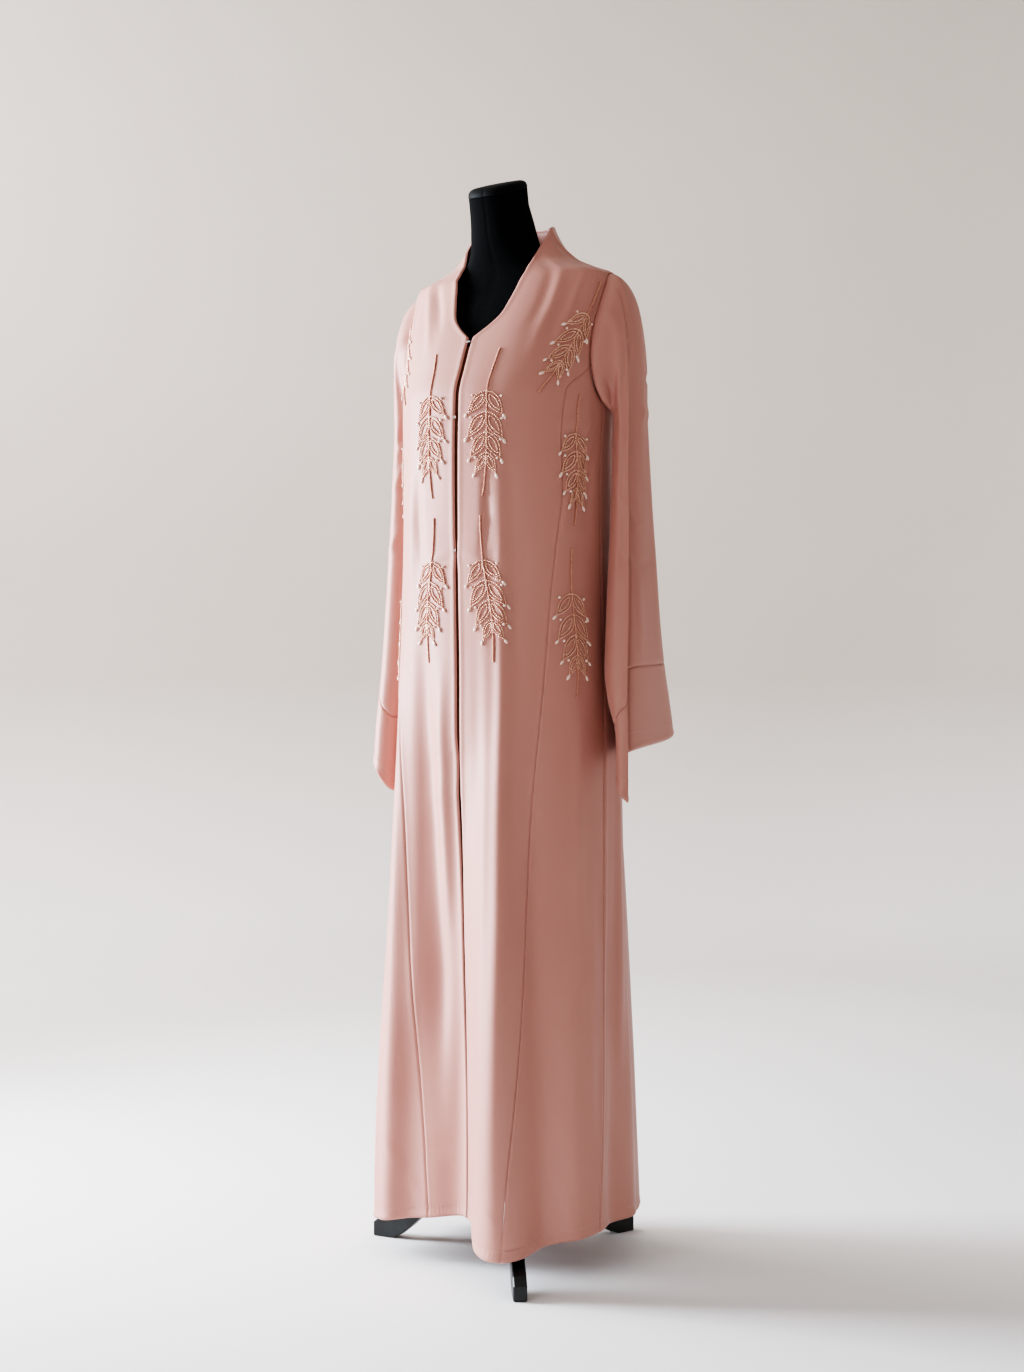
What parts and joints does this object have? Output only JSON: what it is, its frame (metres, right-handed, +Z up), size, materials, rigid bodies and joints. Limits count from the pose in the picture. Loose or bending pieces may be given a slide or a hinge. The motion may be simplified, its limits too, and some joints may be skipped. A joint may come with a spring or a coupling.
{
  "type": "abaya cloak on a dress form",
  "caption": "Ankle-length open-front abaya cloak in pink crepe with a V neck, wide cuffed sleeves and a flared, folded skirt, worn by a black dress form on a wooden stand with splayed legs",
  "frame": {"origin": "on the floor, at the middle of the bounding box in plan, 8 mm in front of the stand's pole", "axes": "+Z up along the pole, -Y the way the garment's front opening faces, +X the wearer's left"},
  "size_m": [0.4699, 0.4138, 1.6462],
  "materials": {
    "pink_crepe": "dusty pink satin-backed crepe, soft sheen",
    "black_jersey": "smooth matt black jersey",
    "black_wood": "black satin paint on wood",
    "steel": "small plated hook and snaps"
  },
  "bodies": {
    "root": {"front_left": "pink_crepe", "front_right": "pink_crepe", "side_front_left": "pink_crepe", "side_front_right": "pink_crepe", "back": "pink_crepe", "sleeve_left": "pink_crepe", "sleeve_right": "pink_crepe", "cuff_left": "pink_crepe", "cuff_right": "pink_crepe", "underlap": "pink_crepe", "hook_top": "steel", "snap_upper": "steel", "snap_lower": "steel", "form_torso": "black_jersey", "form_cap": "black_jersey", "stand_pole": "black_wood", "stand_hub": "black_wood", "stand_leg_front": "black_wood", "stand_leg_back": "black_wood", "stand_leg_right": "black_wood"}
  },
  "joints": []
}
